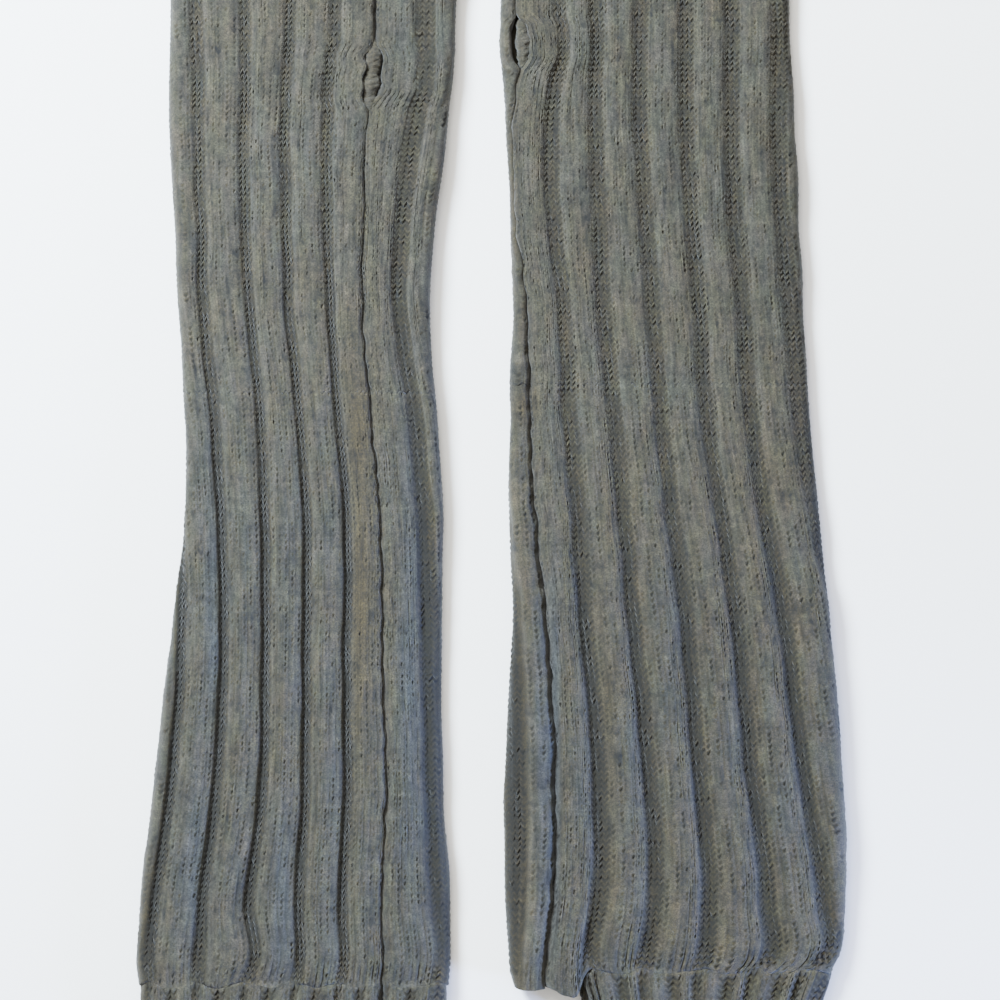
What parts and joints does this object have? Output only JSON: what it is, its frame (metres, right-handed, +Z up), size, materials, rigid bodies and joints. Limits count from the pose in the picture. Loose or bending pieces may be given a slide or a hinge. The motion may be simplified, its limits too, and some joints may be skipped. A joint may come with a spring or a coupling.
{
  "type": "pair of knit hand warmers",
  "caption": "Pair of long knitted wide-rib fingerless hand warmers laid flat side by side, with a thumb opening in each lengthwise seam and a narrow-rib hem.",
  "frame": {"origin": "on the surface the pair lies on, under the middle of the pair's bounding box", "axes": "+Z up from the surface, +Y along the warmers to the finger ends, +X to the right, so the warmers lie beside each other along X"},
  "size_m": [0.2265, 0.3785, 0.0089],
  "materials": {
    "body_knit": "heather grey-taupe wool in a wide plain-and-purl rib, matt and slightly fuzzy",
    "hem_knit": "the same wool in a narrow rib"
  },
  "bodies": {
    "root": {"left_body": "body_knit", "right_body": "body_knit", "left_hem": "hem_knit", "right_hem": "hem_knit"}
  },
  "joints": []
}
